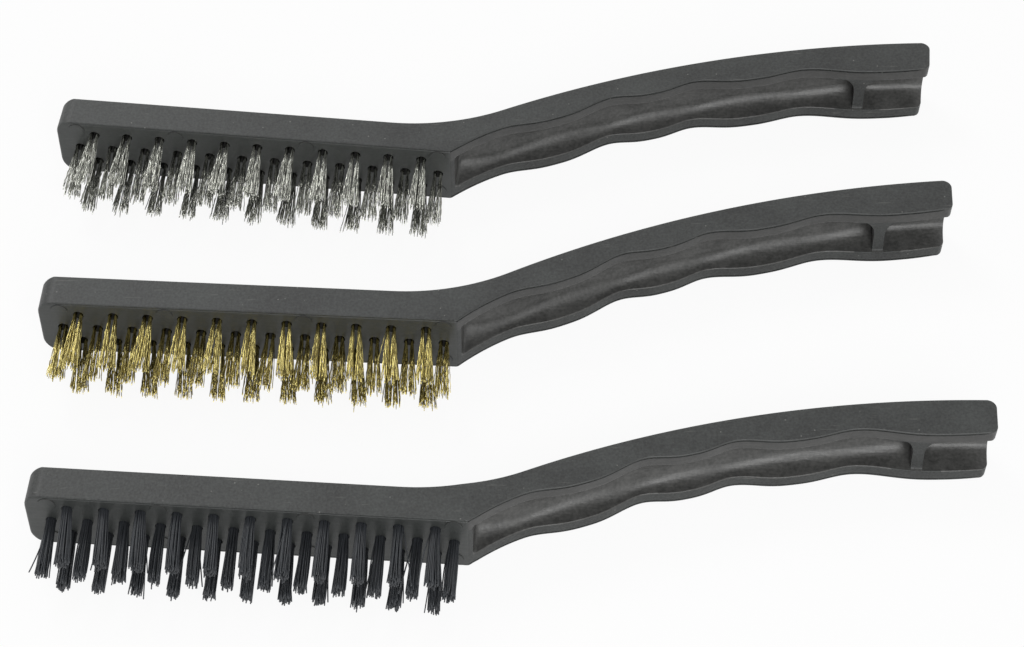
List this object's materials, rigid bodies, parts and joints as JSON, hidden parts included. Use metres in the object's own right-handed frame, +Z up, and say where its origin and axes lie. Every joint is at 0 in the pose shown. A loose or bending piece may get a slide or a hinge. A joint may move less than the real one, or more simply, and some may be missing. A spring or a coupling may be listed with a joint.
{
  "type": "set of scratch brushes",
  "caption": "Set of wave-grip scratch brushes with moulded dark handles laid on their sides, one with steel wire, one with brass wire and one with black nylon bristles.",
  "frame": {"origin": "on the side face that the middle (brass) brush lies on, under the middle of its neck; the bench is z = 0", "axes": "+Z up from the bench, +X along the set from the bristle heads to the handle tails, bristles point to -Y"},
  "size_m": [0.238, 0.1752, 0.0184],
  "materials": {
    "moulded_handle": "satin moulded polypropylene, faces spark textured",
    "steel_wire": "bright crimped stainless wire",
    "brass_wire": "bright crimped brass-coloured wire",
    "nylon_bristle": "semi-gloss black extruded filament",
    "staple_wire": "flat drawn staple wire"
  },
  "bodies": {
    "brass_brush": {"brass_handle": "moulded_handle", "brass_tufts_upper": "brass_wire", "brass_tufts_middle": "brass_wire", "brass_tufts_lower": "brass_wire", "brass_staples_upper": "staple_wire", "brass_staples_middle": "staple_wire", "brass_staples_lower": "staple_wire"},
    "steel_brush": {"steel_handle": "moulded_handle", "steel_tufts_upper": "steel_wire", "steel_tufts_middle": "steel_wire", "steel_tufts_lower": "steel_wire", "steel_staples_upper": "staple_wire", "steel_staples_middle": "staple_wire", "steel_staples_lower": "staple_wire"},
    "nylon_brush": {"nylon_handle": "moulded_handle", "nylon_tufts_upper": "nylon_bristle", "nylon_tufts_middle": "nylon_bristle", "nylon_tufts_lower": "nylon_bristle", "nylon_staples_upper": "staple_wire", "nylon_staples_middle": "staple_wire", "nylon_staples_lower": "staple_wire"}
  },
  "joints": [
    {"name": "lift_steel_brush", "type": "slide", "parent": "brass_brush", "child": "steel_brush", "axis": [0, 0, 1], "range_m": [0, 0.08]},
    {"name": "lift_nylon_brush", "type": "slide", "parent": "brass_brush", "child": "nylon_brush", "axis": [0, 0, 1], "range_m": [0, 0.08]}
  ]
}
